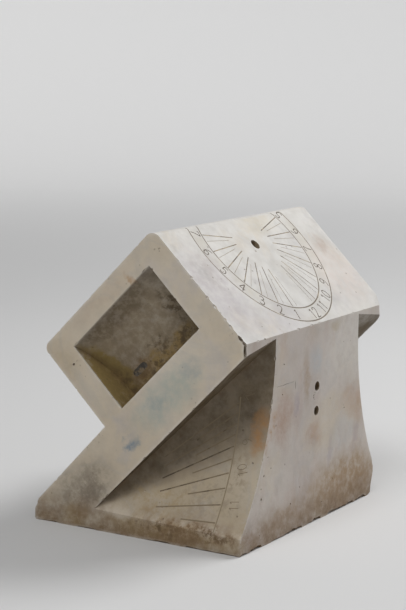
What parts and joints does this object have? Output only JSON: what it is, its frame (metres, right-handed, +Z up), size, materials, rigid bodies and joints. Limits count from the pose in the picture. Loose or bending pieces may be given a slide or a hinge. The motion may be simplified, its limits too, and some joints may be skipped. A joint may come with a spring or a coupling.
{
  "type": "polyhedral sundial",
  "caption": "Carved marble sundial with a sloping hour dial, two conical flanks read by the edges' shadows, side hollows, and sockets for gnomons.",
  "frame": {"origin": "centre of the base's bounding rectangle, on the base", "axes": "+Z up, -Y towards the front, which faces north in use, and +X towards the west side"},
  "size_m": [0.3, 0.236, 0.2997],
  "materials": {
    "marble": "matte",
    "mastic": "matte",
    "lead": "matte"
  },
  "bodies": {
    "root": {"marble_block": "marble", "outer_chapter_ring": "mastic", "inner_chapter_ring": "mastic", "dial_morning_line_5": "mastic", "dial_morning_line_6": "mastic", "dial_morning_line_7": "mastic", "dial_morning_line_8": "mastic", "dial_morning_line_9": "mastic", "dial_morning_line_10": "mastic", "dial_morning_line_11": "mastic", "dial_evening_line_1": "mastic", "dial_evening_line_2": "mastic", "dial_evening_line_3": "mastic", "dial_evening_line_4": "mastic", "dial_evening_line_5": "mastic", "dial_evening_line_6": "mastic", "dial_evening_line_7": "mastic", "east_chapter_curve": "mastic", "east_hour_line_1": "mastic", "east_hour_line_2": "mastic", "east_hour_line_3": "mastic", "east_hour_line_4": "mastic", "east_hour_line_5": "mastic", "east_half_hour_line_1": "mastic", "east_half_hour_line_2": "mastic", "east_half_hour_line_3": "mastic", "east_half_hour_line_4": "mastic", "east_half_hour_line_5": "mastic", "back_east_line_1": "mastic", "back_east_line_2": "mastic", "back_east_line_3": "mastic", "back_east_line_4": "mastic", "west_chapter_curve": "mastic", "west_hour_line_1": "mastic", "west_hour_line_2": "mastic", "west_hour_line_3": "mastic", "west_hour_line_4": "mastic", "west_hour_line_5": "mastic", "west_half_hour_line_1": "mastic", "west_half_hour_line_2": "mastic", "west_half_hour_line_3": "mastic", "west_half_hour_line_4": "mastic", "west_half_hour_line_5": "mastic", "back_west_line_1": "mastic", "back_west_line_2": "mastic", "back_west_line_3": "mastic", "back_west_line_4": "mastic", "dial_rod_lead": "lead", "front_upper_lead": "lead", "front_lower_lead": "lead", "east_hollow_lead": "lead", "west_hollow_lead": "lead", "back_upper_lead": "lead", "back_lower_lead": "lead"}
  },
  "joints": []
}
